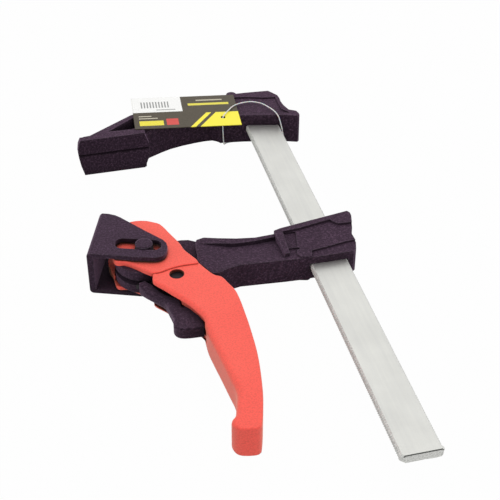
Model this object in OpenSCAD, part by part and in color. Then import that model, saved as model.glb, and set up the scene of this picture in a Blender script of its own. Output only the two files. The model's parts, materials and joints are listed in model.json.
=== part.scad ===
// Ratcheting lever clamp: fixed jaw on a flat bar, sliding arm, cam lever, swivel shoe.
// Millimetres. Origin at the centre of the fixed jaw's clamping face, z = 0 mid-plane.
// The bar runs along Y, the jaws reach toward -X, the shoe is drawn swung aside.

/* [Bar] */
// distance from the jaw face centre to the bar centre line
reach = 103; // [70:1:160]
// bar width
bar_w = 22; // [18:0.5:30]
// bar thickness
bar_t = 5; // [4:0.5:8]
// free length of the bar in front of the fixed jaw face
bar_free = 296; // [200:1:600]
// length of the bar held inside the fixed jaw
bar_held = 32; // [20:1:36]

/* [Jaws] */
// half height of the jaw face block
pad_hz = 13.4; // [11:0.1:16]
// half height of the fixed casting
jaw_hz = 10.5; // [9:0.1:12]
// half height of the sliding head
head_hz = 10.2; // [9:0.1:12]
// half height of the arm beam
beam_hz = 8; // [6:0.1:10]
// depth of the arm recesses along the rail at their back
beam_recess = 3; // [1:0.1:4]

/* [Lever] */
// distance of the lever pivot below the jaw face at rest
pivot_y = -120; // [-200:1:-100]
// half gap between the lever cheeks
cheek_in = 4.5; // [4:0.1:6]
// half height over the lever cheeks
cheek_out = 10.75; // [9:0.05:12]
// half height of the handle
handle_hz = 9.75; // [8:0.05:11]

/* [Shoe] */
// distance of the pressing face from the pivot at rest
shoe_off = 31.1; // [28:0.1:36]
// room between a lever cheek and the shoe ear beside it
shoe_play = 0.95; // [0.5:0.05:2]
// thickness of the shoe ears
ear_t = 2.7; // [2:0.1:4]
// thickness of the shoe wall
wall_t = 3.7; // [3:0.1:5]
// width of the slot in the ears
slot_w = 9.2; // [8.4:0.1:10]

/* [Pins] */
// pivot pin radius
pin_r = 4; // [3:0.1:4.2]
// grip pin radius
grip_r = 2.5; // [2:0.1:4]
// pawl pin radius
pawl_pin_r = 4.2; // [3:0.1:5]

/* [Hidden] */
$fn = 48;
over = 1;          // overrun of a cut past the face
run = 0.05;        // running clearance of a pin in its hole
slide_gap = 0.3;   // clearance of the bar in the sliding head
edge_gap = 0.5;    // clearance at the narrow bar edges
bar_ch = 1;        // chamfer on the long bar edges
bar_end = -bar_free;
pivot = [0, 0];     // the arm's group is drawn about its own pivot
shoe_ang = -19.03; // turn of the shoe's length at rest
eps = 0.01;
shoe_hz = cheek_out + shoe_play + ear_t;
through = 2 * shoe_hz;

module slab(p, z0, z1) {
  translate([0, 0, z0]) linear_extrude(z1 - z0) polygon(p);
}

module at_pivot() {
  translate([0, pivot_y, 0]) children();
}

module both(p, z0, z1) {
  for (s = [0, 1]) mirror([0, 0, s]) slab(p, z0, z1);
}

module post(c, r, z0, z1) {
  translate([c[0], c[1], z0]) cylinder(r = r, h = z1 - z0);
}

// outline moved out by g along the edge normals, for an outline listed clockwise
function left_of(v) = [-v[1], v[0]];
function grow(p, g) = [for (i = [0 : len(p) - 1])
  let (n = len(p), q = p[i], a = left_of(unit(q - p[(i + n - 1) % n])),
       b = left_of(unit(p[(i + 1) % n] - q))) q + g * (a + b) / (1 + a * b)];

// side view (x, z) profile pushed along y from y0 to y1
module along_y(p, y0, y1) {
  translate([0, y1, 0]) rotate([90, 0, 0]) linear_extrude(y1 - y0) polygon(p);
}

// ---- bar ----
bar_half = bar_w / 2;
bar_zt = bar_t / 2;
bar_section = [[reach - bar_half, -bar_zt + bar_ch], [reach - bar_half + bar_ch, -bar_zt],
               [reach + bar_half - bar_ch, -bar_zt], [reach + bar_half, -bar_zt + bar_ch],
               [reach + bar_half, bar_zt - bar_ch], [reach + bar_half - bar_ch, bar_zt],
               [reach - bar_half + bar_ch, bar_zt], [reach - bar_half, bar_zt - bar_ch]];
nub_w = 1;         // how far the peened end stands out
nub_len = 3;
bar_corner = 2.5;  // rounding of the lower outer corner

module bar() {
  color("#d9dde0") difference() {
    union() {
      along_y(bar_section, bar_end, bar_held);
      translate([reach + bar_half - eps, bar_end, -bar_zt + bar_ch])
        cube([nub_w + eps, nub_len, bar_t - 2 * bar_ch]);
    }
    translate([reach - bar_half - eps, bar_end - eps, -bar_t])
      linear_extrude(2 * bar_t) polygon([[0, 0], [bar_corner, 0], [0, bar_corner]]);
    for (c = jaw_pin_at) post(c, jaw_pin_r + run, -bar_t, bar_t);
  }
}

// ---- fixed jaw ----
jaw_pin_r = 2.5;
jaw_pin_at = [[reach - 6, 21], [reach + 6, 24]];
jaw_pin_top = 7.5;
jaw_plan = [[-20.5, 0.4], [21, 0.4], [21.5, 3], [23.8, 6.1], [27.3, 7.8], [33, 10.7], [39.4, 13.4],
            [48, 15.6], [57, 17], [64.6, 17.7], [69.6, 17.4], [73.1, 15.1], [74.6, 12.9],
            [reach - 25.9, 12.8], [reach - 12.6, 11], [reach + 0, 8.3], [reach + 12, 5.7],
            [reach + 16.5, 4.3], [reach + 23, 2], [reach + 24.4, 3], [reach + 24.4, 5.2],
            [reach + 23.6, 8.4], [reach + 19, 11.3], [reach + 17.2, 17.6], [reach + 16.6, 22.8],
            [reach + 16.9, 27.7], [reach + 16.5, 31.8], [reach + 14.3, 35.4], [reach + 11.7, 39.3],
            [reach - 2.5, 40.3], [reach - 12, 40.6], [reach - 19, 40.2], [72, 39.4], [58, 37.6],
            [42, 33.6], [28, 29], [15, 24], [-2.9, 12.4], [-14.5, 5], [-18.8, 4.6], [-20.5, 1.5]];
// half height along the casting
jaw_side = [[-30, -pad_hz], [16, -pad_hz], [76, -jaw_hz], [140, -jaw_hz],
            [140, jaw_hz], [76, jaw_hz], [16, pad_hz], [-30, pad_hz]];
pad_side = [[-20.4, -pad_hz], [20, -pad_hz], [23.2, -5], [23.7, 1.8], [23.5, 5], [20.6, pad_hz],
            [-21.3, pad_hz], [-22.8, 10], [-23.5, 5], [-23.2, 0], [-22.3, -6]];
pad_back = 4.2;
front_cut_plan = [[21.5, -5], [23.6, -5], [72, -5], [73, 30], [30, 24], [21.5, 12]];
rear_flange_in = [[-2, 7.2], [13.5, 6.6], [22, 9.5], [40, 17.4], [64, 21.4], [71, 21.2],
                  [reach - 27, 17], [reach - 21, 17], [reach - 21, 36], [72, 35.4], [58, 33.6],
                  [42, 29.4], [28, 24.8], [16.5, 20.6]];
web_hz = 4.5;
head_plate = [[reach - 17, 35.5], [reach - 11.3, 35.6], [reach - 4, 34], [reach + 0.8, 32.6],
              [reach + 6.4, 30.7], [reach + 14.5, 29.6], [reach + 14.5, 13], [reach + 19, 7],
              [reach + 16, 7.6], [reach + 1, 10.9], [reach - 13, 13.6], [reach - 18.5, 14.6]];
plate_drop = 1;
boss_at = [reach - 14.5, 40.2];
boss_r = 3.5;
groove_d = 1.8;    // V-groove in the jaw face
groove_w = 2;
pad_half = 21.5;   // the face block's reach to each side
groove_z = 1.6;

module fixed_jaw() {
  color("#2b262c") difference() {
    union() {
      intersection() {
        slab(jaw_plan, -pad_hz, pad_hz);
        along_y(jaw_side, -over, reach);
      }
      along_y(pad_side, 0, pad_back);
      post(boss_at, boss_r, -jaw_hz, jaw_hz);
    }
    // the arm right of the face block is only as high as the casting at its front
    both(front_cut_plan, jaw_hz, pad_hz + over);
    both(rear_flange_in, web_hz, pad_hz + over);
    both(head_plate, jaw_hz - plate_drop, jaw_hz + over);
    // V-groove along the face
    translate([-pad_half - 4 * over, 0, groove_z]) rotate([0, 90, 0])
      linear_extrude(2 * pad_half + 7 * over)
      polygon([[-groove_w / 2, -over], [-groove_w / 2, 0], [0, groove_d], [groove_w / 2, 0],
               [groove_w / 2, -over]]);
    // pocket of the bar
    along_y([for (p = bar_section) [p[0] + (p[0] > reach ? run : -run), p[1] + (p[1] > 0 ? run : -run)]],
            -reach, bar_held + run);
    for (c = jaw_pin_at) post(c, jaw_pin_r + run, -jaw_hz - over, jaw_pin_top + run);
  }
}

module jaw_pins() {
  color("#4a4a4c") for (c = jaw_pin_at) post(c, jaw_pin_r, -jaw_hz + 0.6, jaw_pin_top);
}

// ---- hang tag ----
tag_x = 15.5;
tag_y = 5.2;
tag_l = 71;
tag_h = 40;
tag_t = 0.4;
tag_turn = -5;
tag_tilt = 2.35;
tag_z = 13.5;
hole_r = 1.7;
hole_at = [59.9, 10.6]; // in the card
sticker_l = 33;
sticker_h = 19;
sticker_t = 0.15;

module on_card() {
  translate([tag_x, tag_y, tag_z]) rotate([0, tag_tilt, tag_turn]) children();
}

module tag_card() {
  color("#4b463c") on_card() difference() {
    cube([tag_l, tag_h, tag_t]);
    post(hole_at, hole_r, -1, 2);
  }
}

module tag_sticker() {
  color("#f2f2ee") on_card() translate([0.6, tag_h - sticker_h - 0.6, tag_t])
    cube([sticker_l, sticker_h, sticker_t]);
}

string_r = 0.4;
string_path = [[reach - 27.4, 9.5, 10.3], [reach - 27, 10.5, 11.4], [reach - 25.8, 12, 12.2],
               [reach - 23.8, 14.4, 12.5], [reach - 21.3, 17.5, 12.3], [reach - 18.3, 21.2, 12],
               [reach - 15.2, 23.8, 11.7], [reach - 11.7, 25.5, 11.4], [reach - 7.7, 26.3, 11.3],
               [reach - 3.7, 26, 11.3], [reach - 0.1, 24.1, 11.4], [reach + 2.8, 21.2, 11.6],
               [reach + 4.6, 17.6, 11.9], [reach + 6.4, 13.8, 12], [reach + 8, 9.8, 12],
               [reach + 9.3, 6.2, 11.3], [reach + 10.3, 4.3, 9.4], [reach + 11.2, 3.7, 6],
               [reach + 12.1, 3.2, 1.9], [reach + 13.1, 3, -3.5], [reach + 13.8, 3.1, -8.4],
               [reach + 13.4, 4.2, -10.9], [reach + 11.4, 6.6, -11.5], [reach + 7, 8.6, -11.4],
               [reach - 2, 10.8, -11.2], [reach - 12, 12.8, -11.2], [reach - 20, 14, -11.3],
               [reach - 24.2, 13.8, -11.5], [reach - 26.1, 12.2, -11.2],
               [reach - 26.7, 11.6, -8.6], [reach - 26.9, 11.5, -3], [reach - 27.1, 11.5, 2.6],
               [reach - 27.3, 10.9, 7.2], [reach - 27.5, 9.7, 9.6]];

function unit(v) = v / norm(v);
function dir_at(p, i) = unit(p[min(i + 1, len(p) - 1)] - p[max(i - 1, 0)]);
function side_of(d) = unit(cross(d, abs(d[2]) < 0.9 ? [0, 0, 1] : [1, 0, 0]));

module tube(p, r, sides) {
  n = len(p);
  pts = [for (i = [0 : n - 1]) let (d = dir_at(p, i), a = side_of(d), b = cross(d, a))
         for (k = [0 : sides - 1]) let (t = 360 * k / sides) p[i] + r * (cos(t) * a + sin(t) * b)];
  faces = concat([[for (k = [0 : sides - 1]) sides - 1 - k]],
                 [[for (k = [0 : sides - 1]) (n - 1) * sides + k]],
                 [for (i = [0 : n - 2]) for (k = [0 : sides - 1])
                  [i * sides + k, i * sides + (k + over) % sides,
                   (i + over) * sides + (k + over) % sides, (i + over) * sides + k]]);
  polyhedron(points = pts, faces = [for (f = faces) [for (k = [len(f) - 1 : -1 : 0]) f[k]]],
             convexity = 6);
}

module tag_string() {
  color("#f4f4f4") tube(string_path, string_r, 8);
}

// ---- sliding arm ----
head_plan = [[reach - 25.5, -23.7], [reach - 17.5, -24.8], [reach - 13, -26], [reach + 14.4, -26],
             [reach + 16.4, -24.4], [reach + 18.2, -18.4], [reach + 17.9, -11.3],
             [reach + 20, -5.5], [reach + 22.6, 4.6], [reach + 22.6, 7.6], [reach + 21.4, 9.4],
             [reach - 22, 2], [reach - 26.2, 0.5]];
beam_plan = [[34.3, -27.2], [38, -27.2], [43, -25], [51, -23.4], [reach - 40, -24.4],
             [reach - 25.6, -25.4], [reach - 13, -26], [reach - 13, 1], [reach - 26.3, 0.2],
             [reach - 37.8, -0.5], [reach - 48.7, 1.2], [43.8, 4.1], [36.1, 6.6], [31.6, 5.4],
             [30.3, 3], [30.1, 0], [29.7, -5], [28.9, -9], [28.6, -13], [29.2, -16.8], [31, -20.6]];
recess_from = 32;          // the recess starts here with a slope
recess_ramp = 26;
recess_to = reach - 25;
recess_front = 0.4;        // depth along the front rim
recess_plan = [[recess_from, -24], [38, -25.2], [43, -23.4], [51, -21.9], [reach - 40, -22.9],
               [recess_to, -23.2], [recess_to, -2.4], [reach - 30, -2.8], [reach - 39, -3.7],
               [52.8, -3.3], [42.4, -0.7], [recess_from, 1.6]];
recess_lead = [[recess_from, beam_hz], [recess_from + recess_ramp, beam_hz - beam_recess - over],
               [reach, beam_hz - beam_recess - over], [reach, beam_hz + 2 * over],
               [recess_from, beam_hz + 2 * over]];
recess_floor = [[-25, beam_hz - recess_front], [2, beam_hz - beam_recess],
                [6, beam_hz - beam_recess], [6, beam_hz + 2 * over], [-25, beam_hz + 2 * over]];
tongue_plan = [[-2, 11.4], [6, 11.6], [23.4, 12.1], [27.7, 11.3], [33.6, 7.4], [40, 3], [40, -22],
               [34.2, -24.5], [27.4, -19.8], [20, -15], [12, -11.6], [4, -10.6]];
tongue_hz = 4.25;
eye_r = 17.2;      // thick round eye, in the round bays of the cheeks
eye_hz = 7.3;
rib_plan_in = [[reach - 21.3, -1.2], [reach - 12, -0.6], [reach - 2.6, 1.4], [reach + 9.1, 3.6],
               [reach + 10, 1.4], [reach + 12.6, -1.3], [reach + 16.2, -1.8], [reach + 27, -1.8],
               [reach + 27, -30], [reach - 29, -30], [reach - 29, -22.2], [reach - 22.8, -22.2],
               [reach - 22.4, -16.4]];
ledge_plan = [[reach - 22.4, -16.4], [reach - 16.5, -16.5], [reach - 9.3, -21.1],
              [reach - 0.3, -19.8], [reach + 12.6, -17.4], [reach + 27, -17], [reach + 27, -30],
              [reach - 29, -30], [reach - 29, -22.2], [reach - 22.8, -22.2]];
pocket_plan = [[reach - 21.3, -1.2], [reach - 22.4, -16.4], [reach - 16.5, -16.5],
               [reach - 13.6, -1.7]];
pocket_floor = [[-18, head_hz - 0.8], [-3, head_hz - 5.6], [2, head_hz - 5.6], [2, head_hz + 2 * over],
                [-18, head_hz + 2 * over]];
plateau_drop = 1.4;
ledge_drop = 2.5;
grip_off = bar_half + grip_r + 0.4;  // the pins stand just outside the bar
grip_at = [[reach + grip_off, 2.7], [reach - grip_off, -21.8]];
grip_boss_r = 4.4;
grip_top = 8;
bush_r = 5.6;
slot_hz = 1.5;     // half thickness of the ratchet plate
plate_tang = [[-6, 9], [8, 9.6], [22, 7.5], [27.5, 2], [27.5, -10], [20, -10.6], [8, -7.6],
              [-3, -9]];
rivet_at = [[13, 4], [13, -4.4]];
rivet_r = 1.8;

module plate_slot(g) {
  slab(grow(plate_tang, g), -slot_hz - g, slot_hz + g);
}

// room round the eye for the pawl's blade, over its whole travel
module pawl_groove() {
  difference() {
    post(pivot, eye_r + over, blade_lo - slide_gap, slot_hz + run);
    post(pivot, root_r - over, -eye_hz, eye_hz);
    slab([[0, 0], [0.05 * reach, -reach], [reach, -reach], [reach, reach], [-reach, reach],
          [-reach, 0.2 * reach]], -eye_hz, eye_hz);
  }
}

module sliding_arm() {
  color("#2b262c") at_pivot() difference() {
    union() {
      difference() {
        slab(head_plan, -head_hz, head_hz);
        both(rib_plan_in, head_hz - plateau_drop, head_hz + over);
        difference() {
          both(ledge_plan, head_hz - ledge_drop, head_hz + over);
          post(grip_at[1], grip_boss_r, -head_hz - over, head_hz + over);
        }
        for (s = [0, 1]) mirror([0, 0, s]) intersection() {
          slab(pocket_plan, 0, head_hz + over);
          rotate([90, 0, 90]) linear_extrude(2 * reach) polygon(pocket_floor);
        }
      }
      difference() {
        slab(beam_plan, -beam_hz, beam_hz);
        for (s = [0, 1]) mirror([0, 0, s]) intersection() {
          slab(recess_plan, 0, beam_hz + over);
          along_y(recess_lead, -reach, reach);
          rotate([90, 0, 90]) linear_extrude(reach) polygon(recess_floor);
        }
      }
      slab(tongue_plan, -tongue_hz, tongue_hz);
      post(pivot, eye_r, -eye_hz, eye_hz);
    }
    translate([reach - bar_half - edge_gap, -reach, -bar_zt - slide_gap])
      cube([bar_w + 2 * edge_gap, 2 * reach, bar_t + 2 * slide_gap]);
    for (c = grip_at) post(c, grip_r + run, -head_hz - over, grip_top + run);
    post(pivot, bush_r + run, -beam_hz, beam_hz);
    plate_slot(run);
    post(pivot, tip_r + over, -slot_hz - run, slot_hz + run);
    pawl_groove();
    for (c = rivet_at) post(c, rivet_r + run, -beam_hz, beam_hz);
  }
}

module grip_pins() {
  color("#77787a") at_pivot() for (c = grip_at) post(c, grip_r, -head_hz + 0.4, grip_top);
}

// ---- ratchet ----
lever_open = 54;               // opening angle of the lever
pitch = lever_open / 8;        // a gap meets the pawl at each quarter of the opening
tip_r = 14.5;
root_r = 12.9;
pawl_at = [14.1, -24.9];
drop = 3.5;                    // turn of the pawl into a gap
tooth_a = -107;                // direction of the pawl tooth from the pivot
tooth_tip = pivot + (tip_r + 0.2) * [cos(tooth_a), sin(tooth_a)];
tooth_in = pawl_at + [cos(drop) * (tooth_tip[0] - pawl_at[0]) + sin(drop) * (tooth_tip[1] - pawl_at[1]),
                      -sin(drop) * (tooth_tip[0] - pawl_at[0]) + cos(drop) * (tooth_tip[1] - pawl_at[1])];
gap_a = atan2(tooth_in[1] - pivot[1], tooth_in[0] - pivot[0]);
gap_n = 9;
function polar(r, a) = pivot + r * [cos(a), sin(a)];

module ratchet_plate() {
  color("#5a5b5e") at_pivot() difference() {
    union() {
      slab(plate_tang, -slot_hz, slot_hz);
      slab(concat([for (k = [0 : gap_n - 1]) let (a = gap_a - k * pitch)
                   for (q = [[tip_r, 0.39], [root_r, 0.12], [root_r, -0.12], [tip_r, -0.39]])
                   polar(q[0], a + q[1] * pitch)],
                  [polar(tip_r, gap_a - (gap_n - 0.5) * pitch), polar(8, 160), polar(8, 60),
                   polar(8, -30), polar(tip_r, -70), polar(tip_r, -85), polar(tip_r, gap_a + 0.8 * pitch)]),
           -slot_hz, slot_hz);
    }
    post(pivot, bush_r + run, -beam_hz, beam_hz);
    for (c = rivet_at) post(c, rivet_r + run, -beam_hz, beam_hz);
  }
}

module ratchet_rivets() {
  color("#8a8b8d") at_pivot() for (c = rivet_at) post(c, rivet_r, -eye_hz, eye_hz);
}

module pivot_bush() {
  color("#b08d57") at_pivot() difference() {
    post(pivot, bush_r, -eye_hz, eye_hz);
    post(pivot, pin_r + run, -beam_hz, beam_hz);
  }
}

// ---- lever ----
lever_head = [[-5.4, 28.4], [0, 29], [5.8, 27.7], [9.6, 25.5], [13.3, 22.4], [17.3, 12],
              [21.1, 1.2], [22.4, -5], [27.5, -16.2], [27.6, -19.1], [17.4, -19], [10.9, -20.1],
              [4.8, -22], [1.1, -21.5], [-1.6, -19.3], [-6.3, -14.1], [-12.4, -8.5], [-16, -7.5],
              [-17.6, -6.4], [-18.2, -4.4], [-18.6, 3], [-20, 9], [-19.6, 14], [-17.9, 18.8],
              [-14.9, 22.9], [-10.6, 26.4]];
lever_grip = [[10.9, -18], [17.4, -17], [27.9, -17.1], [31.9, -25.6], [34.7, -30.3], [38, -32.6],
              [40.4, -38.7], [42.7, -45.5], [43.4, -53], [43.5, -61], [43.3, -77], [42, -99],
              [38.5, -122], [35.5, -135], [31.6, -147.4], [30.2, -148.4], [26.8, -148.4],
              [21.6, -147.2], [19.4, -145.6], [18.2, -143], [18.2, -140.8], [19.3, -138.6],
              [21.2, -136.4],
              [23.3, -129.6], [25.1, -123], [25.4, -117.5], [24.6, -110], [23.2, -97],
              [21.8, -85], [20.9, -76], [21, -68], [21.2, -63.5],
              [18.9, -57.6], [15.9, -51.2], [12.2, -45.5], [8.8, -40.8], [5, -35], [0.4, -28.6],
              [0.2, -26], [1.1, -21.9], [4.8, -20.6]];
lever_slot = [[-40, 40], [-40, -30], [-10, -52], [4, -70], [27.4, -70], [26, -56], [23.4, -42],
              [28, -31.4], [33, -27], [60, -10], [60, 40]];

// the cheeks are hollowed to a shell along the finger side, clear of the pins
shell_hz = 7.6;
eye_room = 0.6;    // room round the eye of the arm
shell_plan = [[-26, 0], [-12, -1], [-8.5, -7.5], [-3, -13], [4, -17.6], [8.4, -21.6],
              [7.8, -27], [9.9, -32.6], [12.6, -38], [13, -45.4], [16.4, -50], [20, -57],
              [22.3, -64], [21, -67], [17, -65], [8, -52], [-4, -38], [-10, -26], [-26, -12]];

module lever() {
  color("#ff6f61") at_pivot() difference() {
    union() {
      slab(lever_head, -cheek_out, cheek_out);
      slab(lever_grip, -handle_hz, handle_hz);
    }
    slab(lever_slot, -cheek_in, cheek_in);
    slab(shell_plan, -shell_hz, shell_hz);
    post(pivot, eye_r + eye_room, -shell_hz, shell_hz);
    post(pivot, pin_r + run, -through, through);
    post(pawl_at, pawl_pin_r + run, -through, through);
    post(spring_pin_at, spring_pin_r + run, 0, cheek_in + spring_pin_in + run);
  }
}

// ---- pivot pin, washers, shoe ----
rivet_head_r = slot_w / 2 + 0.4;
rivet_head_h = 1;
shoe_gap = 0.1;

module pivot_pin() {
  color("#3b3b3e") at_pivot() {
    post(pivot, pin_r, -shoe_hz - shoe_gap, shoe_hz + shoe_gap);
    for (s = [0, 1]) mirror([0, 0, s])
      translate([pivot[0], pivot[1], shoe_hz + shoe_gap]) {
        cylinder(r = rivet_head_r, h = rivet_head_h * 0.6);
        translate([0, 0, rivet_head_h * 0.6])
          cylinder(r1 = rivet_head_r, r2 = rivet_head_r - 1, h = rivet_head_h * 0.4);
      }
  }
}

washer_r = 5.4;
washer_gap = 0.07;
washer_t = shoe_play - 2 * washer_gap;
module pivot_washers() {
  color("#3b3b3e") at_pivot() for (s = [0, 1]) mirror([0, 0, s]) difference() {
    post(pivot, washer_r, cheek_out + washer_gap, cheek_out + washer_gap + washer_t);
    post(pivot, pin_r + run, 0, through);
  }
}

ear_plan = [[0, -11.2], [15, -11.5], [29.2, -11.9], [39.8, -11.5], [42.6, -10.2], [44.1, -8.4],
            [44.9, -5], [44.8, -0.6], [43.6, 2.9], [41.1, 5.6], [36.8, 8.4], [30.6, 12.5],
            [21.7, 18.6], [12.8, 24.9], [9.6, 26.6], [5.5, 27.6], [1.4, 27.7], [0, 26.6]];
slot_from = 18.9;
slot_to = 36.7;
bend_r = 2.4;

module shoe_frame() {
  translate([pivot[0], pivot[1], 0]) rotate([0, 0, shoe_ang]) translate([-shoe_off, 0, 0]) children();
}

module shoe() {
  color("#2f2a30") at_pivot() shoe_frame() difference() {
    intersection() {
      slab(ear_plan, -shoe_hz, shoe_hz);
      translate([0, through, 0]) rotate([90, 0, 0]) linear_extrude(2 * through) union() {
        translate([bend_r, -shoe_hz]) square([2 * slot_to, 2 * shoe_hz]);
        translate([0, -shoe_hz + bend_r]) square([2 * slot_to, 2 * (shoe_hz - bend_r)]);
        for (s = [-1, 1]) translate([bend_r, s * (shoe_hz - bend_r)]) circle(r = bend_r);
      }
    }
    translate([wall_t, -through, -shoe_hz + ear_t])
      cube([2 * slot_to, 2 * through, 2 * (shoe_hz - ear_t)]);
    for (x = [slot_from, slot_to]) translate([x, 0, -through]) cylinder(d = slot_w, h = 2 * through);
    translate([slot_from, -slot_w / 2, -through])
      cube([slot_to - slot_from, slot_w, 2 * through]);
  }
}

// ---- trigger and pawl ----
trigger_hz = 3.7;
blade_lo = -1.8;
blade_hi = 0.8;
hub_r = 6.6;
hub_room = 7.4;
blade_fit = 0.2;   // room round the blade in the trigger
trigger_plan = [[-0.4, -23.6], [2.1, -28.6], [5, -33.3], [9.2, -37.2], [13.6, -40.3], [18, -43],
                [20.4, -52], [21.4, -60], [21, -65.3], [11, -64.7], [6.9, -62.9], [5.4, -59.4],
                [6.5, -54], [5.5, -45.5], [4.2, -39], [-0.3, -33], [-4.4, -27.6], [-7, -22.2],
                [-6.6, -20.2], [-3.2, -19.4]];
blade_plan = [[-1.5, -18.2], [6, -18.8], [14.1, -18.4], [20, -22], [20.2, -27.4], [18, -33],
              [16.5, -41], [15, -50], [9, -50], [7.5, -41], [2.5, -33], [-2.2, -27], [-4.6, -22.5],
              [-4.6, -19]];
spring_bay = [[7, -26], [7.4, -32], [10.5, -37.5], [12.2, -41], [12.2, -46.4], [20.4, -46.4],
              [24, -40], [24, -26]];
tooth_dir = unit(pivot - tooth_tip);
tooth_side = [-tooth_dir[1], tooth_dir[0]];
// back from the tip, half width: the flanks of the tooth
tooth_flank = [[0, 0.16], [1.4, 0.52], [5.5, 2.6]];
spring_pin_at = [16, -43];
spring_pin_r = 1.2;
spring_pin_in = 2;
wire_r = 0.45;
coil_r = 5.6;
coil_turns = 2.5;
coil_step = 0.95;
coil_z = 1.5;
coil_sides = 20;

module trigger() {
  color("#2b262c") at_pivot() difference() {
    slab(trigger_plan, -trigger_hz, trigger_hz);
    slab(grow(blade_plan, blade_fit), blade_lo - run, blade_hi + run);
    post(pawl_at, hub_r + blade_fit, blade_lo - run, blade_hi + run);
    post(pawl_at, hub_room, blade_hi, trigger_hz + over);
    slab(spring_bay, blade_hi, trigger_hz + over);
  }
}

module pawl_blade() {
  color("#5a5b5e") at_pivot() difference() {
    union() {
      slab(blade_plan, blade_lo, blade_hi);
      post(pawl_at, hub_r, blade_lo, blade_hi);
      slab(concat([for (q = tooth_flank) tooth_tip - q[0] * tooth_dir + q[1] * tooth_side],
                  [for (i = [2 : -1 : 0]) let (q = tooth_flank[i])
                   tooth_tip - q[0] * tooth_dir - q[1] * tooth_side]), blade_lo, blade_hi);
    }
    post(pawl_at, pawl_pin_r + run, -trigger_hz, trigger_hz);
  }
}

pawl_pin_hz = 7.6;
module pawl_pin() {
  color("#3b3b3e") at_pivot() post(pawl_at, pawl_pin_r, -pawl_pin_hz, pawl_pin_hz);
}

coil_path = concat([[17.4, -46, coil_z], [17.75, -43, coil_z], [19, -32, coil_z]],
                   [for (k = [0 : coil_sides * coil_turns]) let (a = 360 * k / coil_sides)
                    [pawl_at[0] + coil_r * cos(a), pawl_at[1] + coil_r * sin(a),
                     coil_z + coil_step * k / coil_sides]],
                   [[8.7, -32.6, coil_z + coil_step * coil_turns]]);

module pawl_spring() {
  color("#b9bcc0") at_pivot() tube(coil_path, wire_r, 8);
}

module spring_pin() {
  color("#8a8b8d") at_pivot() post(spring_pin_at, spring_pin_r, blade_hi + 0.3, cheek_in + spring_pin_in);
}

bar();
fixed_jaw();
jaw_pins();
tag_card();
tag_sticker();
tag_string();
sliding_arm();
grip_pins();
ratchet_plate();
ratchet_rivets();
pivot_bush();
lever();
pivot_pin();
pivot_washers();
shoe();
trigger();
pawl_blade();
pawl_pin();
pawl_spring();
spring_pin();
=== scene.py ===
import json
import math

import bmesh
import bpy
from mathutils import Matrix, Vector


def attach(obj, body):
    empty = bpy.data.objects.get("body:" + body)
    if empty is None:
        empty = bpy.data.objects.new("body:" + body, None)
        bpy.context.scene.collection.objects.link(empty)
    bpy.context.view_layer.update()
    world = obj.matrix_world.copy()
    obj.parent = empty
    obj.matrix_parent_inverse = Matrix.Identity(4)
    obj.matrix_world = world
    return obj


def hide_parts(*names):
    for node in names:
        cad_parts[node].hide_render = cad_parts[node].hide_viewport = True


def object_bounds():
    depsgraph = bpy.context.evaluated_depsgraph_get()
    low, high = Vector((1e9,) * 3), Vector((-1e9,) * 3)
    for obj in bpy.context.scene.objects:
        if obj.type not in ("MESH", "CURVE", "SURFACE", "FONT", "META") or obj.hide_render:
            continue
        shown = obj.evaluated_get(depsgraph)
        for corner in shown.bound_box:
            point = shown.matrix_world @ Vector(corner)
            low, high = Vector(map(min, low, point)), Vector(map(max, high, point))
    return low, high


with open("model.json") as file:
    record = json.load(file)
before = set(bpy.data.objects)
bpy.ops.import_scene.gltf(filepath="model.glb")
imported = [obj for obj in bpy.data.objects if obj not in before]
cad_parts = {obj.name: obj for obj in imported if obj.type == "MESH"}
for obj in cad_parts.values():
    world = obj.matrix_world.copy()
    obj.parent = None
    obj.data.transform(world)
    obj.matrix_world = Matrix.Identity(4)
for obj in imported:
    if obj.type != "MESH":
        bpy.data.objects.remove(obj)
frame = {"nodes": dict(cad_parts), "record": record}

CAD_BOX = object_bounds()
MM = 0.001

# ---------------------------------------------------------------- camera
# Product shot from in front and above, the bar running away to the upper left.
PICTURE_PX = 500.0
LENS_PX = 1120.51          # focal length in pixels of such a picture
SENSOR_MM = 36.0
LOOK_AZIMUTH = 14.04       # degrees the view turns from +Y towards +X
LOOK_DOWN = 37.77          # degrees below the horizon
ROLL = 0.17
LOOK_AT = Vector((62.0, -121.35, 0.0)) * MM
STAND_OFF = 657.66 * MM


def set_camera():
    a, e, r = (math.radians(v) for v in (LOOK_AZIMUTH, LOOK_DOWN, ROLL))
    look = Vector((math.sin(a) * math.cos(e), math.cos(a) * math.cos(e), -math.sin(e)))
    right = Vector((math.cos(a), -math.sin(a), 0.0))
    up = right.cross(look)
    right, up = (right * math.cos(r) + up * math.sin(r), up * math.cos(r) - right * math.sin(r))
    data = bpy.data.cameras.new("product_camera")
    data.sensor_width = SENSOR_MM
    data.lens = LENS_PX / PICTURE_PX * SENSOR_MM
    data.clip_start = 0.05
    data.clip_end = 50.0
    cam = bpy.data.objects.new("product_camera", data)
    bpy.context.collection.objects.link(cam)
    turn = Matrix((right, up, -look)).transposed().to_4x4()
    cam.matrix_world = Matrix.Translation(LOOK_AT - look * STAND_OFF) @ turn
    bpy.context.scene.camera = cam


set_camera()


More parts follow.
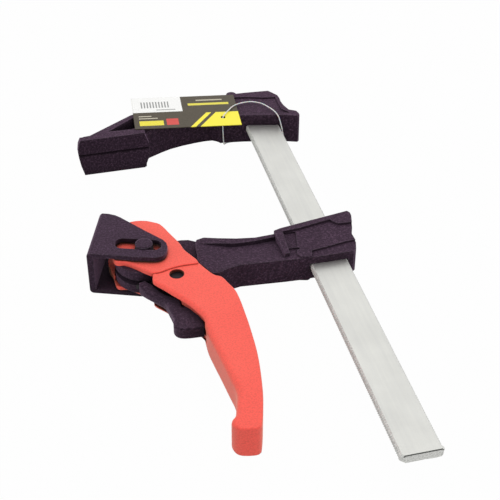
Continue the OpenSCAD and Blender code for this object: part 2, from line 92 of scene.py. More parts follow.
# ---------------------------------------------------------------- tag string
# Nylon loop of the hang tag: up through the card's hole, over the head and down its
# front, back underneath and up in front of the arm to the hole again.
STRING_MM = [
    (75.6, 9.5, 10.3), (76.0, 10.5, 11.4), (77.2, 12.0, 12.2), (79.2, 14.4, 12.5),
    (81.7, 17.5, 12.3), (84.7, 21.2, 12.0), (87.8, 23.8, 11.7), (91.3, 25.5, 11.4),
    (95.3, 26.3, 11.3), (99.3, 26.0, 11.3), (102.9, 24.1, 11.4), (105.8, 21.2, 11.6),
    (107.6, 17.6, 11.9), (109.4, 13.8, 12.0), (111.0, 9.8, 12.0), (112.3, 6.2, 11.3),
    (113.3, 4.3, 9.4), (114.2, 3.7, 6.0), (115.1, 3.2, 1.9), (116.1, 3.0, -3.5),
    (116.8, 3.1, -8.4), (116.4, 4.2, -10.9), (114.4, 6.6, -11.5), (110.0, 8.6, -11.4),
    (101.0, 10.8, -11.2), (91.0, 12.8, -11.2), (83.0, 14.0, -11.3), (78.8, 13.8, -11.5),
    (76.9, 12.2, -11.2), (76.3, 11.6, -8.6), (76.1, 11.5, -3.0), (75.9, 11.5, 2.6),
    (75.7, 10.9, 7.2), (75.5, 9.7, 9.6),
]
STRING_R = 0.4 * MM
STRING_CUTS = 4            # pieces between two points of the route


def string_curve():
    pts = [Vector(p) * MM for p in STRING_MM]
    fine = []
    for i in range(len(pts) - 1):
        p0, p1, p2, p3 = (pts[max(i - 1, 0)], pts[i], pts[i + 1], pts[min(i + 2, len(pts) - 1)])
        for k in range(STRING_CUTS):
            t = k / STRING_CUTS
            fine.append(0.5 * ((2 * p1) + (p2 - p0) * t + (2 * p0 - 5 * p1 + 4 * p2 - p3) * t * t
                               + (3 * p1 - p0 - 3 * p2 + p3) * t * t * t))
    fine.append(pts[-1])
    curve = bpy.data.curves.new("nylon_loop", "CURVE")
    curve.dimensions = "3D"
    curve.bevel_depth = 1.0     # the points' own radius gives the thickness
    curve.bevel_resolution = 3
    curve.use_fill_caps = True
    line = curve.splines.new("POLY")
    line.points.add(len(fine) - 1)
    for pt, p in zip(line.points, fine):
        pt.co = (*p, 1.0)
        pt.radius = STRING_R
    obj = bpy.data.objects.new("nylon_loop", curve)
    bpy.context.collection.objects.link(obj)
    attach(obj, "bar_and_fixed_jaw")
    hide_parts("tag_string")
    return obj


nylon_loop = string_curve()


# ---------------------------------------------------------------- materials
def linear(code):
    """sRGB hex to linear RGBA."""
    out = []
    for i in (0, 2, 4):
        c = int(code[i:i + 2], 16) / 255.0
        out.append(c / 12.92 if c <= 0.04045 else ((c + 0.055) / 1.055) ** 2.4)
    return (*out, 1.0)


def add(tree, kind, settings=None, links=None):
    """One node with its settings; links gives socket: (node, output)."""
    n = tree.nodes.new(kind)
    for key, value in (settings or {}).items():
        if isinstance(key, int) or key in n.inputs:
            n.inputs[key].default_value = value
        else:
            setattr(n, key, value)
    for key, (src, out) in (links or {}).items():
        tree.links.new(src.outputs[out], n.inputs[key])
    return n


def new_material(name):
    mat = bpy.data.materials.new(name)
    mat.use_nodes = True
    mat.node_tree.nodes.clear()
    return mat, mat.node_tree


def ramp(tree, stops, links):
    n = add(tree, "ShaderNodeValToRGB", links=links)
    el = n.color_ramp.elements
    while len(el) > 1:
        el.remove(el[-1])
    el[0].position, el[0].color = stops[0]
    for pos, col in stops[1:]:
        e = el.new(pos)
        e.color = col
    return n


def surface(tree, shader):
    add(tree, "ShaderNodeOutputMaterial", links={"Surface": (shader, "BSDF")})


def noise(tree, source, size_mm, detail, roughness=0.5):
    """Noise whose features are that many millimetres; source is (node, output)."""
    return add(tree, "ShaderNodeTexNoise",
               {"Scale": 1.0 / (size_mm * MM), "Detail": detail, "Roughness": roughness},
               {"Vector": source})


def relief(tree, height, depth_mm, strength):
    """Bump of that depth from a noise node."""
    return add(tree, "ShaderNodeBump", {"Strength": strength, "Distance": depth_mm * MM},
               {"Height": (height, "Fac")})


def openness(tree, reach_mm, inside=False):
    """Share of open room within that reach; inside looks into the body, to find edges."""
    return add(tree, "ShaderNodeAmbientOcclusion",
               {"samples": 8, "inside": inside, "Distance": reach_mm * MM})


def mixed(tree, how, share, a, b):
    """Colour mix; a and b are colours or (node, output)."""
    n = add(tree, "ShaderNodeMix", {"data_type": "RGBA", "blend_type": how, 0: share})
    for slot, value in ((6, a), (7, b)):
        if isinstance(value[0], float):
            n.inputs[slot].default_value = value
        else:
            tree.links.new(value[0].outputs[value[1]], n.inputs[slot])
    return n, 2


def grey(level):
    return (level, level, level, 1.0)


def black_finish(name, grit_mm, tints, rough, relief_mm, dust):
    """Black coating: fine grit, slow change in film thickness, and the pale dusty bloom
    that a matt black shows where light rakes over it. Corners and recesses get painted
    shade and go deep black; edges are painted a little greyer, as rub wear and a painted highlight."""
    mat, t = new_material(name)
    co = add(t, "ShaderNodeTexCoord")
    grit = noise(t, (co, "Object"), grit_mm, 5.0, 0.7)
    film = noise(t, (co, "Object"), 14.0, 2.0)
    tint = ramp(t, [(0.38, linear(tints[0])), (0.5, linear(tints[1])), (0.64, linear(tints[2]))],
                {"Fac": (grit, "Fac")})
    tone = ramp(t, [(0.3, grey(0.7)), (0.7, grey(1.0))], {"Fac": (film, "Fac")})
    colour = mixed(t, "MULTIPLY", 1.0, (tint, "Color"), (tone, "Color"))
    # convex edges painted a little greyer: rub wear and a painted highlight
    edge = openness(t, 0.8, inside=True)
    wear_and_edge_highlight = ramp(t, [(0.55, grey(0.02)), (0.85, grey(0.0))], {"Fac": (edge, "AO")})
    colour = mixed(t, "ADD", 1.0, colour, (wear_and_edge_highlight, "Color"))
    # painted shade: colour darkens towards black in recesses, corners and under parts, where shade
    # falls
    nook = openness(t, 12.0)
    painted_recess_shade = ramp(t, [(0.4, grey(0.04)), (0.88, grey(1.0))], {"Fac": (nook, "AO")})
    colour = mixed(t, "MULTIPLY", 1.0, colour, (painted_recess_shade, "Color"))
    bump = relief(t, grit, relief_mm, 1.0)
    gloss = ramp(t, [(0.3, grey(rough[0])), (0.7, grey(rough[1]))], {"Fac": (grit, "Fac")})
    shader = add(t, "ShaderNodeBsdfPrincipled",
                 {"Specular IOR Level": 0.04, "Sheen Weight": dust, "Sheen Roughness": 0.55,
                  "Sheen Tint": linear("ffcffb")},
                 {"Base Color": colour, "Roughness": (gloss, "Color"), "Normal": (bump, "Normal")})
    surface(t, shader)
    return mat


def coral_lever_enamel():
    """Die-cast lever under satin coral enamel: even colour, a soft broad sheen and a faint
    orange peel."""
    mat, t = new_material("coral_lever_enamel")
    co = add(t, "ShaderNodeTexCoord")
    # orange peel about 1.6 mm from crest to crest, and a finer grain of 0.9 mm
    peel = noise(t, (co, "Object"), 1.6, 3.0, 0.5)
    sand = noise(t, (co, "Object"), 0.9, 4.0, 0.65)
    film = noise(t, (co, "Object"), 30.0, 2.0)
    tint = ramp(t, [(0.3, linear("fb5c52")), (0.7, linear("ff6256"))], {"Fac": (film, "Fac")})
    fleck = ramp(t, [(0.38, grey(0.84)), (0.58, grey(1.0))], {"Fac": (sand, "Fac")})
    colour = mixed(t, "MULTIPLY", 1.0, (tint, "Color"), (fleck, "Color"))
    # the hollow under the cheeks is painted dark: painted shade where the cheeks and the shoe keep
    # the light out
    nook = openness(t, 9.0)
    painted_hollow_shade = ramp(t, [(0.42, grey(0.02)), (0.7, grey(1.0))], {"Fac": (nook, "AO")})
    colour = mixed(t, "MULTIPLY", 1.0, colour, (painted_hollow_shade, "Color"))
    bump = relief(t, peel, 0.1, 0.25)
    shader = add(t, "ShaderNodeBsdfPrincipled",
                 {"Roughness": 0.45, "Specular IOR Level": 0.22, "Sheen Weight": 0.45,
                  "Sheen Roughness": 0.5, "Sheen Tint": linear("ffc8a4")},
                 {"Base Color": colour, "Normal": (bump, "Normal")})
    surface(t, shader)
    return mat


def zinc_plated_steel():
    """Cold-drawn flat bar, bright zinc plated: silvery with a dull milky bloom, faint
    rolling streaks along its length and small grey scuffs."""
    mat, t = new_material("zinc_plated_steel")
    co = add(t, "ShaderNodeTexCoord")
    stretch = add(t, "ShaderNodeMapping", {"Scale": (1.0, 0.05, 1.0)}, {"Vector": (co, "Object")})
    # rolling lines about 2 mm apart across the bar
    streak = noise(t, (stretch, "Vector"), 2.0, 3.0)
    bloom = noise(t, (co, "Object"), 22.0, 3.0, 0.6)
    # scuffs a few millimetres long, far apart
    scuff = noise(t, (co, "Object"), 6.0, 4.0, 0.75)
    tint = ramp(t, [(0.3, linear("dededa")), (0.7, linear("e4e4df"))], {"Fac": (streak, "Fac")})
    cloud = ramp(t, [(0.35, grey(0.93)), (0.65, grey(1.0))], {"Fac": (bloom, "Fac")})
    marks = ramp(t, [(0.225, grey(0.45)), (0.26, grey(1.0))], {"Fac": (scuff, "Fac")})
    colour = mixed(t, "MULTIPLY", 1.0, (tint, "Color"), (cloud, "Color"))
    colour = mixed(t, "MULTIPLY", 1.0, colour, (marks, "Color"))
    gloss = ramp(t, [(0.3, grey(0.42)), (0.7, grey(0.52))], {"Fac": (bloom, "Fac")})
    bump = relief(t, streak, 0.05, 0.1)
    shader = add(t, "ShaderNodeBsdfPrincipled", {"Metallic": 0.85},
                 {"Base Color": colour, "Roughness": (gloss, "Color"), "Normal": (bump, "Normal")})
    surface(t, shader)
    return mat


def metal(name, low, high, rough_low, rough_high, grain_mm, metallic=1.0):
    """Turned, ground or sheared metal with a fine grain."""
    mat, t = new_material(name)
    co = add(t, "ShaderNodeTexCoord")
    grain = noise(t, (co, "Object"), grain_mm, 4.0)
    tint = ramp(t, [(0.3, linear(low)), (0.7, linear(high))], {"Fac": (grain, "Fac")})
    gloss = ramp(t, [(0.3, grey(rough_low)), (0.7, grey(rough_high))], {"Fac": (grain, "Fac")})
    bump = relief(t, grain, 0.03, 0.15)
    shader = add(t, "ShaderNodeBsdfPrincipled", {"Metallic": metallic},
                 {"Base Color": (tint, "Color"), "Roughness": (gloss, "Color"),
                  "Normal": (bump, "Normal")})
    surface(t, shader)
    return mat


CARD_CORNER = (15.5 * MM, 5.2 * MM, 13.5 * MM)
CARD_TURN = (0.0, math.radians(2.35), math.radians(-5.0))
CARD_LEAN = 0.7            # the bands' sideways run for each step up, 35 degrees
CARD_LOW_HALF = 17.5       # mm up the card where the bands stop
CARD_BANDS = [(37.0, 40.5), (43.5, 80.0)]
# blocks of colour in mm: left, right, bottom, top and the ink
CARD_BLOCKS = [
    (-1.0, 33.6, 20.6, 41.0, "e9e9e5"), (3.5, 19.5, 3.5, 9.5, "e8db42"),
    (21.5, 29.5, 3.5, 11.5, "cf4a44"), (3.5, 16.0, 12.2, 13.2, "c9c2ae"),
    (3.5, 12.0, 15.0, 16.0, "c9c2ae"), (38.0, 66.0, 27.6, 30.4, "e0d450"),
    (44.0, 62.0, 33.4, 35.0, "b9b29c"),
]
LABEL_BAR, LABEL_STEP = 0.9, 2.0      # width of the label's bars and their spacing


def on_the_card(tree):
    """Position in the card's own plane: X along its length, Y up its height."""
    co = add(tree, "ShaderNodeTexCoord")
    plane = add(tree, "ShaderNodeMapping", {"vector_type": "TEXTURE",
                "Location": CARD_CORNER, "Rotation": CARD_TURN},
                {"Vector": (co, "Object")})
    axes = add(tree, "ShaderNodeSeparateXYZ", links={"Vector": (plane, "Vector")})
    return co, (axes, "X"), (axes, "Y")


def calc(tree, op, a, b):
    """Maths on two values; each is a number or (node, output)."""
    n = add(tree, "ShaderNodeMath", {"operation": op})
    for slot, value in enumerate((a, b)):
        if isinstance(value, tuple):
            tree.links.new(value[0].outputs[value[1]], n.inputs[slot])
        else:
            n.inputs[slot].default_value = value
    return n, "Value"


def between(tree, value, low_mm, high_mm):
    return calc(tree, "MULTIPLY", calc(tree, "GREATER_THAN", value, low_mm * MM),
                calc(tree, "LESS_THAN", value, high_mm * MM))


def box_on(tree, x, y, x0, x1, y0, y1):
    return calc(tree, "MULTIPLY", between(tree, x, x0, x1), between(tree, y, y0, y1))


def painted(tree, below, mask, code):
    n, out = mixed(tree, "MIX", 0.0, below, linear(code))
    tree.links.new(mask[0].outputs[mask[1]], n.inputs[0])
    return n, out


def coated_card():
    """Hang tag of 0.4 mm coated card, offset printed: dark olive ground, plain yellow bands
    and blocks of colour, under a thin gloss varnish."""
    mat, t = new_material("coated_card")
    co, x, y = on_the_card(t)
    # card fibre clumps of about 1 mm
    fibre = noise(t, (co, "Object"), 1.0, 4.0)
    ground = ramp(t, [(0.3, linear("423a2d")), (0.7, linear("4e4637"))], {"Fac": (fibre, "Fac")})
    art = (ground, "Color")
    # two slanting bands on the half by the hole
    lean = calc(t, "SUBTRACT", x, calc(t, "MULTIPLY", y, CARD_LEAN))
    low_half = calc(t, "LESS_THAN", y, CARD_LOW_HALF * MM)
    for start, end in CARD_BANDS:
        band = calc(t, "MULTIPLY", between(t, lean, start, end), low_half)
        art = painted(t, art, band, "f7ea45")
    for x0, x1, y0, y1, code in CARD_BLOCKS:
        art = painted(t, art, box_on(t, x, y, x0, x1, y0, y1), code)
    bump = relief(t, fibre, 0.03, 0.1)
    shader = add(t, "ShaderNodeBsdfPrincipled", {"Roughness": 0.45, "Specular IOR Level": 0.35},
                 {"Base Color": art, "Normal": (bump, "Normal")})
    surface(t, shader)
    return mat


def label_paper():
    """Matt white self-adhesive label with a plain row of grey bars of one width."""
    mat, t = new_material("label_paper")
    co, x, y = on_the_card(t)
    fibre = noise(t, (co, "Object"), 0.8, 3.0)
    ground = ramp(t, [(0.3, linear("eeeeec")), (0.7, linear("f6f6f4"))], {"Fac": (fibre, "Fac")})
    bars = calc(t, "LESS_THAN", calc(t, "MODULO", x, LABEL_STEP * MM), LABEL_BAR * MM)
    art = painted(t, (ground, "Color"),
                  calc(t, "MULTIPLY", bars, box_on(t, x, y, 6.0, 26.0, 26.0, 34.0)), "8f908e")
    art = painted(t, art, box_on(t, x, y, 16.0, 29.0, 22.6, 23.8), "a9aaa8")
    bump = relief(t, fibre, 0.02, 0.1)
    shader = add(t, "ShaderNodeBsdfPrincipled", {"Roughness": 0.7},
                 {"Base Color": art, "Normal": (bump, "Normal")})
    surface(t, shader)
    return mat


def nylon_monofilament():
    """Translucent white nylon: soft shine with a little light passing through."""
    mat, t = new_material("nylon_monofilament")
    co = add(t, "ShaderNodeTexCoord")
    cloud = noise(t, (co, "Object"), 4.0, 2.0)
    tint = ramp(t, [(0.3, linear("cfcfcf")), (0.7, linear("e2e2e2"))], {"Fac": (cloud, "Fac")})
    shader = add(t, "ShaderNodeBsdfPrincipled",
                 {"Roughness": 0.35, "IOR": 1.53, "Subsurface Weight": 0.2,
                  "Subsurface Scale": 0.4 * MM},
                 {"Base Color": (tint, "Color")})
    surface(t, shader)
    return mat


# die-cast magnesium under texture powder coat, whose clumps are about 1.3 mm across
COAT = black_finish("powder_coated_magnesium", 1.3, ("0f080e", "251824", "4d3b4a"),
                    (0.5, 0.7), 0.3, 0.27)
# pressed 2.7 mm steel under thin black stoving enamel, smoother than the castings
PRESSING = black_finish("stoved_black_pressing", 1.1, ("130a12", "271b26", "49384a"),
                        (0.42, 0.58), 0.2, 0.26)
# glass-filled nylon, injection moulded against a spark-eroded tool
NYLON = black_finish("glass_filled_nylon", 1.2, ("120a11", "271b26", "4b3a48"),
                     (0.45, 0.6), 0.25, 0.28)
ENAMEL = coral_lever_enamel()
ZINC = zinc_plated_steel()
SHEARED = metal("sheared_zinc_edge", "b9bab6", "ebebe7", 0.5, 0.65, 0.9, 0.2)
# dark steel for the burr of the bar's end: a painted shadow line along its top edge
BURR_SHADOW_STEEL = metal("burr_shadow_paint_steel", "3a3b39", "5c5d5a", 0.45, 0.6, 0.8, 0.3)
# black oxide on hardened steel
BLACKENED = metal("black_oxide_steel", "1d181c", "2b252a", 0.42, 0.55, 0.6, 0.5)
GROUND = metal("ground_steel", "8e8f90", "a9aaab", 0.3, 0.45, 0.5)
WIRE = metal("drawn_spring_wire", "3a3839", "4c494a", 0.3, 0.42, 0.4)
BRONZE = metal("sintered_bronze", "8f6a35", "b48a4c", 0.4, 0.55, 0.3)
CARD = coated_card()
LABEL = label_paper()
MONOFILAMENT = nylon_monofilament()

FINISH = {
    "bar": ZINC, "fixed_jaw": COAT, "jaw_pins": BLACKENED, "tag_card": CARD,
    "tag_sticker": LABEL, "tag_string": MONOFILAMENT, "sliding_arm": COAT,
    "grip_pins": GROUND, "ratchet_plate": BLACKENED, "ratchet_rivets": BLACKENED,
    "pivot_bush": BRONZE, "lever": ENAMEL, "pivot_pin": PRESSING,
    "pivot_washers": BLACKENED, "shoe": PRESSING, "trigger": NYLON, "pawl_blade": BLACKENED,
    "pawl_pin": BLACKENED, "pawl_spring": WIRE, "spring_pin": BLACKENED,
}
for node, obj in frame["nodes"].items():
    obj.data.materials.clear()
    obj.data.materials.append(FINISH[node])
nylon_loop.data.materials.append(MONOFILAMENT)


# ---------------------------------------------------------------- softened castings
BODY_OF = {n: b for b, nodes in frame["record"]["behaviour"]["bodies"].items() for n in nodes}


def stands_for(obj, node):
    """The piece takes the node's finish and body, and stands in its place: the node's own mesh is
    hidden.
    """
    obj.data.materials.clear()
    obj.data.materials.append(FINISH[node])
    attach(obj, BODY_OF[node])
    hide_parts(node)


def new_object(name, bm):
    mesh = bpy.data.meshes.new(name)
    bm.to_mesh(mesh)
    bm.free()
    obj = bpy.data.objects.new(name, mesh)
    bpy.context.collection.objects.link(obj)
    return obj


def apply_modifiers(obj):
    view = bpy.context.evaluated_depsgraph_get()
    done = bpy.data.meshes.new_from_object(obj.evaluated_get(view))
    obj.modifiers.clear()
    obj.data = done


def shade(obj, crisp_above=35.0):
    """Smooth shading with flat flats and crisp corners."""
    obj.data.shade_smooth()
    obj.data.set_sharp_from_angle(angle=math.radians(crisp_above))
    weigh = obj.modifiers.new("flat_faces", "WEIGHTED_NORMAL")
    weigh.keep_sharp = True
    apply_modifiers(obj)


EDGE_SEGMENTS = 3
EDGE_FROM = 28.0           # degrees from which an edge is rounded


def softened(node, name, width_mm):
    """The casting with its moulded edge radii: a bevelled copy stands for the node."""
    bm = bmesh.new()
    bm.from_mesh(frame["nodes"][node].data)
    bmesh.ops.remove_doubles(bm, verts=bm.verts, dist=0.002 * MM)
    bmesh.ops.dissolve_limit(bm, angle_limit=math.radians(1.0), verts=bm.verts, edges=bm.edges)
    obj = new_object(name, bm)
    bev = obj.modifiers.new("edge_radius", "BEVEL")
    bev.width = width_mm * MM
    bev.segments = EDGE_SEGMENTS
    bev.limit_method = "ANGLE"
    bev.angle_limit = math.radians(EDGE_FROM)
    bev.use_clamp_overlap = True
    apply_modifiers(obj)
    shade(obj)
    stands_for(obj, node)


softened("fixed_jaw", "fixed_jaw_casting", 0.7)
softened("sliding_arm", "sliding_arm_casting", 0.6)
softened("shoe", "shoe_pressing", 0.45)


# ---------------------------------------------------------------- lever and trigger
# Both are drawn from the pivot, in mm: corners are x, y and the radius of the edge there.
PIVOT_Y = -120.0
LEVER_HEAD = [
    (-5.4, 28.4, 1), (0, 29, 1), (5.8, 27.7, 1), (9.6, 25.5, 1), (13.3, 22.4, 1),
    (17.3, 12, 1), (21.1, 1.2, 1), (22.4, -5, 1), (27.5, -16.2, 0.7), (27.6, -19.1, 0.5),
    (17.4, -19, 0.5), (10.9, -20.1, 0.5), (4.8, -22, 0.5), (1.1, -21.5, 0.9),
    (-1.6, -19.3, 1.4), (-6.3, -14.1, 1.6), (-12.4, -8.5, 1.4), (-16, -7.5, 1.2),
    (-17.6, -6.4, 1), (-18.2, -4.4, 1), (-18.6, 3, 1), (-20, 9, 1), (-19.6, 14, 1),
    (-17.9, 18.8, 1), (-14.9, 22.9, 1), (-10.6, 26.4, 1)]
LEVER_GRIP = [
    (10.9, -18, 0.5), (17.4, -17, 0.5), (27.9, -17.1, 0.8), (31.9, -25.6, 1), (34.7, -30.3, 1),
    (38, -32.6, 1), (40.4, -38.7, 1), (42.7, -45.5, 1), (43.4, -53, 1), (43.5, -61, 1),
    (43.3, -77, 1.1), (42, -99, 1.1), (38.5, -122, 1.1), (35.5, -135, 1.1),
    (31.6, -147.4, 1.0), (30.2, -148.4, 0.9), (26.8, -148.4, 0.9), (21.6, -147.2, 1.1),
    (19.4, -145.6, 1.5), (18.2, -143, 2.1), (18.2, -140.8, 2.5), (19.3, -138.6, 3.0),
    (21.2, -136.4, 3.4), (23.3, -129.6, 3.6), (25.1, -123, 3.6), (25.4, -117.5, 3.6),
    (24.6, -110, 3.6), (23.2, -97, 3.6), (21.8, -85, 3.6), (20.9, -76, 3.6), (21, -68, 3.4),
    (21.2, -63.5, 3.0), (18.9, -57.6, 2.8), (15.9, -51.2, 2.8), (12.2, -45.5, 2.8),
    (8.8, -40.8, 2.8), (5, -35, 2.5), (0.4, -28.6, 1.7), (0.2, -26, 1.0), (1.1, -21.9, 0.6),
    (4.8, -20.6, 0.5)]
LEVER_SLOT = [(-40, 40), (-40, -30), (-10, -52), (4, -70), (27.4, -70), (26, -56),
              (23.4, -42), (28, -31.4), (33, -27), (60, -10), (60, 40)]
# hollow under the cheeks along the finger side
LEVER_SHELL = [(-26, 0), (-12, -1), (-8.5, -7.5), (-3, -13), (4, -17.6), (8.4, -21.6),
               (7.8, -27), (9.9, -32.6), (12.6, -38), (13, -45.4), (16.4, -50), (20, -57),
               (22.3, -64), (21, -67), (17, -65), (8, -52), (-4, -38), (-10, -26), (-26, -12)]
CHEEK_OUT, CHEEK_IN, GRIP_HALF, SHELL_IN = 10.75, 4.5, 9.75, 7.6
EYE_BAY = 17.8             # round bay of the arm's eye in each cheek
PIVOT_BORE, PAWL_BORE, SPRING_BORE = 4.05, 4.25, 1.25
PAWL_AT, SPRING_PIN_AT = (14.1, -24.9), (16.0, -43.0)
TRIGGER = [
    (-0.4, -23.6, 0.4), (2.1, -28.6, 0.4), (5, -33.3, 0.4), (9.2, -37.2, 0.4),
    (13.6, -40.3, 0.4), (18, -43, 0.4), (20.4, -52, 0.5), (21.4, -60, 0.6),
    (21, -65.3, 0.8), (11, -64.7, 1.0), (6.9, -62.9, 1.0), (5.4, -59.4, 1.0),
    (6.5, -54, 1.3), (5.5, -45.5, 2.0), (4.2, -39, 2.4), (-0.3, -33, 2.6),
    (-4.4, -27.6, 2.4), (-7, -22.2, 1.2), (-6.6, -20.2, 0.6), (-3.2, -19.4, 0.4)]
TRIGGER_HALF = 3.7
HUB_ROOM, COIL_ROOM = 6.8, 7.4        # rooms in the trigger for the blade's hub and the coil
BAY_TOP = 5                # above the trigger's upper face
OVERCUT = 0.05             # overlap of two cuts that meet
THROUGH = 20               # beyond both faces of the lever
EYE_SIDES = 96
CRISP_LOFT = 40.0          # degrees from which an edge of lever and trigger stays crisp
BLADE = [(-1.8, -18), (6, -18.6), (14.2, -18.2), (20.2, -21.9), (20.4, -27.4), (18.2, -33),
         (16.7, -41), (15.2, -50.2), (8.8, -50.2), (7.3, -41), (2.3, -32.9), (-2.4, -26.9),
         (-4.8, -22.5), (-4.8, -18.8)]
BLADE_LOW, BLADE_HIGH = -1.85, 0.85
SPRING_BAY = [(7, -26), (7.4, -32), (10.5, -37.5), (12.2, -41), (12.2, -46.4), (20.4, -46.4),
              (24, -40), (24, -26)]


def flowing(corners, step_mm=1.2, kink=55.0):
    """Closed smooth line through the corners; a turn sharper than the kink stays a corner."""
    pts = [Vector(c) for c in corners]
    n = len(pts)
    line = []
    for i in range(n):
        a, b, c, d = (pts[(i + k - 1) % n] for k in range(4))
        chord = c - b
        size = chord.to_2d().length

        def slope(p, q, r):
            before, after = (q - p).to_2d(), (r - q).to_2d()
            if before.angle(after) > math.radians(kink):
                return chord
            way = r - p
            return way * (size / way.to_2d().length)

        m0, m1 = slope(a, b, c), slope(b, c, d)
        cuts = max(1, round(size / step_mm))
        for k in range(cuts):
            t = k / cuts
            line.append(b * (2 * t ** 3 - 3 * t ** 2 + 1) + m0 * (t ** 3 - 2 * t ** 2 + t)
                        + c * (3 * t ** 2 - 2 * t ** 3) + m1 * (t ** 3 - t ** 2))
    area = sum(p.x * q.y - q.x * p.y for p, q in zip(line, line[1:] + line[:1]))
    return line if area > 0 else line[::-1]


def lofted(name, rings):
    """Closed solid through rings of equal count, from the bottom one up."""
    bm = bmesh.new()
    loops = [[bm.verts.new(Vector((x, y + PIVOT_Y, z)) * MM) for x, y, z in r] for r in rings]
    for low, high in zip(loops, loops[1:]):
        for k in range(len(low)):
            j = (k + 1) % len(low)
            bm.faces.new((low[k], low[j], high[j], high[k]))
    bm.faces.new(loops[0][::-1])
    bm.faces.new(loops[-1])
    return new_object(name, bm)


def rounded_slab(name, corners, half, arcs=5):
    """Flat casting with the given edge radii, top and bottom alike."""
    line = flowing(corners)
    n = len(line)
    inward = []
    for i, p in enumerate(line):
        way = ((line[(i + 1) % n] - p).to_2d().normalized()
               + (p - line[i - 1]).to_2d().normalized()).normalized()
        inward.append(Vector((-way.y, way.x)))
    rings = []
    for up, k in ([(-1, k) for k in range(arcs, -1, -1)] + [(1, k) for k in range(arcs + 1)]):
        turn = math.radians(90.0 * k / arcs)
        rings.append([(*(p.to_2d() + side * p.z * (1 - math.cos(turn))),
                       up * (half - p.z + p.z * math.sin(turn))) for p, side in zip(line, inward)])
    return lofted(name, rings)


def prism(corners, low, high):
    area = sum(p[0] * q[1] - q[0] * p[1] for p, q in zip(corners, corners[1:] + corners[:1]))
    flat = corners if area > 0 else corners[::-1]
    return lofted("tool", [[(x, y, z) for x, y in flat] for z in (low, high)])


def round_bar(at, radius, low, high, sides=48):
    turn = [math.tau * k / sides for k in range(sides)]
    return prism([(at[0] + radius * math.cos(a), at[1] + radius * math.sin(a)) for a in turn],
                 low, high)


def machined(obj, tools, how="DIFFERENCE"):
    for tool in tools:
        step = obj.modifiers.new("cut", "BOOLEAN")
        step.operation, step.solver, step.object = how, "EXACT", tool
    apply_modifiers(obj)
    for tool in tools:
        bpy.data.objects.remove(tool)


def lever_casting():
    grip = rounded_slab("lever_casting", LEVER_GRIP, GRIP_HALF)
    machined(grip, [rounded_slab("tool", LEVER_HEAD, CHEEK_OUT)], "UNION")
    machined(grip, [prism(LEVER_SLOT, -CHEEK_IN, CHEEK_IN),
                    prism(LEVER_SHELL, -SHELL_IN, SHELL_IN),
                    round_bar((0, 0), EYE_BAY, -SHELL_IN, SHELL_IN, EYE_SIDES),
                    round_bar((0, 0), PIVOT_BORE, -THROUGH, THROUGH),
                    round_bar(PAWL_AT, PAWL_BORE, -THROUGH, THROUGH),
                    round_bar(SPRING_PIN_AT, SPRING_BORE, 0, CHEEK_IN + 2)])
    shade(grip, CRISP_LOFT)
    stands_for(grip, "lever")


def trigger_moulding():
    body = rounded_slab("trigger_moulding", TRIGGER, TRIGGER_HALF)
    machined(body, [prism(BLADE, BLADE_LOW, BLADE_HIGH),
                    round_bar(PAWL_AT, HUB_ROOM, BLADE_LOW, BLADE_HIGH),
                    round_bar(PAWL_AT, COIL_ROOM, BLADE_HIGH - OVERCUT, BAY_TOP),
                    prism(SPRING_BAY, BLADE_HIGH - OVERCUT, BAY_TOP)])
    shade(body, CRISP_LOFT)
    stands_for(body, "trigger")


lever_casting()
trigger_moulding()


# ---------------------------------------------------------------- serrated bar
BAR_X, BAR_HALF, BAR_THICK = 103.0, 11.0, 2.5
BAR_CHAMFER = 1.0
BAR_END, BAR_HELD = -296.0, 32.0
TOOTH_PITCH = 1.5          # serrations along both narrow edges
TOOTH_DEPTH = 0.42
TEETH_FROM = 3.0           # plain metal at the free end
BAR_CLIP = 1.6             # clipped corner of the free end
BURR = 0.45                # rolled-over edge of the sheared end, which carries a dark painted shadow line
LAND = 0.45                # share of the pitch from a tooth's tip to its root
FLAT_SKIN, EDGE_SKIN, SHADOW_LINE_SKIN = 0, 1, 2


def serrated_bar():
    """Flat bar with cross serrations rolled into its two narrow edges; the free end is
    sheared off, with one corner clipped and a peened stop at the other."""
    bm = bmesh.new()
    stops = [(BAR_END, BAR_CLIP, BURR), (BAR_END + BURR, BAR_CLIP - BURR, 0.0),
             (BAR_END + BAR_CLIP, 0.0, 0.0)]
    y = BAR_END + TEETH_FROM
    while y < BAR_HELD - 2 * TOOTH_PITCH:
        stops += [(y, 0.0, 0.0), (y + TOOTH_PITCH * LAND, 0.0, TOOTH_DEPTH)]
        y += TOOTH_PITCH
    stops += [(y, 0.0, 0.0), (BAR_HELD, 0.0, 0.0)]
    left, right = BAR_X - BAR_HALF, BAR_X + BAR_HALF
    low, edge = -BAR_THICK, BAR_THICK - BAR_CHAMFER
    rings = []
    for y, clip, cut in stops:
        high = BAR_THICK - (BURR if y == BAR_END else 0.0)
        wall_l, wall_r = left + clip + cut, right - cut
        sec = [(wall_l, -edge), (left + clip + BAR_CHAMFER, low), (right - BAR_CHAMFER, low),
               (wall_r, -edge), (wall_r, edge), (right - BAR_CHAMFER, high),
               (left + clip + BAR_CHAMFER, high), (wall_l, edge)]
        rings.append([bm.verts.new(Vector((x, y, z)) * MM) for x, z in sec])
    skins = []
    for i, (a, b) in enumerate(zip(rings, rings[1:])):
        for k in range(8):
            j = (k + 1) % 8
            bm.faces.new((a[k], a[j], b[j], b[k]))
            # narrow edges and their chamfers keep the duller rolled skin, and the burr of
            # the sheared end carries a dark painted shadow line
            shadow_line = i == 0 and k in (4, 5, 6)
            skins.append(SHADOW_LINE_SKIN if shadow_line else EDGE_SKIN if k in (3, 4, 6, 7) else FLAT_SKIN)
    bm.faces.new(rings[0][::-1])
    bm.faces.new(rings[-1])
    skins += [EDGE_SKIN, FLAT_SKIN]
    bmesh.ops.recalc_face_normals(bm, faces=bm.faces)
    obj = new_object("serrated_bar", bm)
    stands_for(obj, "bar")
    obj.data.materials.append(SHEARED)
    obj.data.materials.append(BURR_SHADOW_STEEL)
    obj.data.polygons.foreach_set("material_index", skins)


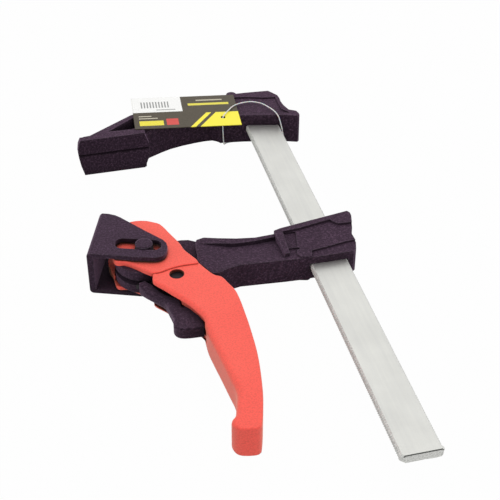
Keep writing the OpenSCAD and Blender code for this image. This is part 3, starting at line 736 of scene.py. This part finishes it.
def peened_stop():
    """Metal pushed out by the punch at the bar's end, which stops the arm: a small nub on
    the outer edge and a swelling below the end's corner."""
    for name, at, reach, square, finish in (
            ("peened_stop", (BAR_HALF - 0.4, 1.7, 0.7), (1.1, 1.0, 1.4), 0.8, SHEARED),
            ("peened_swelling", (6.4, 1.6, -1.9), (4.4, 1.55, 1.7), 0.7, ZINC)):
        bm = bmesh.new()
        bmesh.ops.create_icosphere(bm, subdivisions=4, radius=1.0)
        for v in bm.verts:
            # squared-off blob
            blob = (math.copysign(abs(c) ** square, c) * r for c, r in zip(v.co, reach))
            x, y, z = (c + p for c, p in zip(blob, at))
            v.co = Vector((BAR_X + x, BAR_END + y, z)) * MM
        piece = new_object(name, bm)
        piece.data.shade_smooth()
        piece.data.materials.append(finish)
        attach(piece, BODY_OF["bar"])


serrated_bar()
peened_stop()


# ---------------------------------------------------------------- floor and light
FLOOR_SIZE = 12.0
FLOOR_AT = (0.05, -0.1)
FLOOR_DROP = 0.0003        # between the tool's lowest point and the floor
GLOW_SHARE = 0.985         # the rest is real paper, which keeps the object's own shadow
SURROUND = 0.5             # what the white surround gives as light
LAMP_AIM = Vector((0.05, -0.12, 0.0))
# place, width and height, and how many times white the face is
LAMPS = {
    "overhead_box": ((0.15, 0.2, 1.3), (1.1, 0.9), 2.5),
    "back_box": ((0.4, 1.3, 1.05), (1.6, 0.7), 1.4),
    "front_fill": ((0.6, -1.5, 0.35), (1.1, 0.6), 3.2),
    "left_fill": ((-1.5, -0.2, 0.35), (0.9, 0.6), 3.0),
}


def seen_rays(tree):
    """1 for rays of the camera, of reflections and through clear matter, else 0."""
    path = add(tree, "ShaderNodeLightPath")
    seen = calc(tree, "MAXIMUM", (path, "Is Camera Ray"), (path, "Is Glossy Ray"))
    return calc(tree, "MAXIMUM", seen, (path, "Is Transmission Ray"))


def white_floor():
    """Pale grey paper that the camera and the reflections see as white."""
    mat, t = new_material("studio_floor")
    co = add(t, "ShaderNodeTexCoord")
    mottle = add(t, "ShaderNodeTexNoise", {"Scale": 3.0, "Detail": 2.0}, {"Vector": (co, "Object")})
    pale = ramp(t, [(0.3, linear("a0a0a0")), (0.7, linear("a6a6a6"))], {"Fac": (mottle, "Fac")})
    paper = add(t, "ShaderNodeBsdfDiffuse", links={"Color": (pale, "Color")})
    glow = add(t, "ShaderNodeEmission", {"Color": grey(1.0), "Strength": 1.0})
    seen = seen_rays(t)
    share = calc(t, "MULTIPLY", seen, GLOW_SHARE)
    mix = add(t, "ShaderNodeMixShader", links={0: share, 1: (paper, "BSDF"),
                                               2: (glow, "Emission")})
    add(t, "ShaderNodeOutputMaterial", links={"Surface": (mix, "Shader")})
    low = CAD_BOX[0][2] - FLOOR_DROP
    bpy.ops.mesh.primitive_plane_add(size=FLOOR_SIZE, location=(*FLOOR_AT, low))
    floor = bpy.context.object
    floor.name = "studio_floor"
    floor.data.materials.append(mat)


def studio_light():
    world = bpy.data.worlds.new("studio_world")
    bpy.context.scene.world = world
    world.use_nodes = True
    t = world.node_tree
    t.nodes.clear()
    seen = seen_rays(t)
    dim = add(t, "ShaderNodeBackground", {"Color": grey(1.0), "Strength": SURROUND})
    white = add(t, "ShaderNodeBackground", {"Color": grey(1.0), "Strength": 1.0})
    mix = add(t, "ShaderNodeMixShader", links={0: seen, 1: (dim, "Background"),
                                               2: (white, "Background")})
    add(t, "ShaderNodeOutputWorld", links={"Surface": (mix, "Shader")})

    for name, (at, size, bright) in LAMPS.items():
        data = bpy.data.lights.new(name, "AREA")
        data.shape = "RECTANGLE"
        data.size, data.size_y = size
        data.energy = bright * math.pi * size[0] * size[1]
        lamp = bpy.data.objects.new(name, data)
        bpy.context.collection.objects.link(lamp)
        lamp.location = at
        # reflections show the white surround in the lamp's place, so pale metal keeps its tone
        lamp.visible_glossy = False
        aim = LAMP_AIM - Vector(at)
        lamp.rotation_euler = aim.to_track_quat("-Z", "Y").to_euler()


white_floor()
studio_light()

scene = bpy.context.scene
scene.view_settings.view_transform = "Standard"
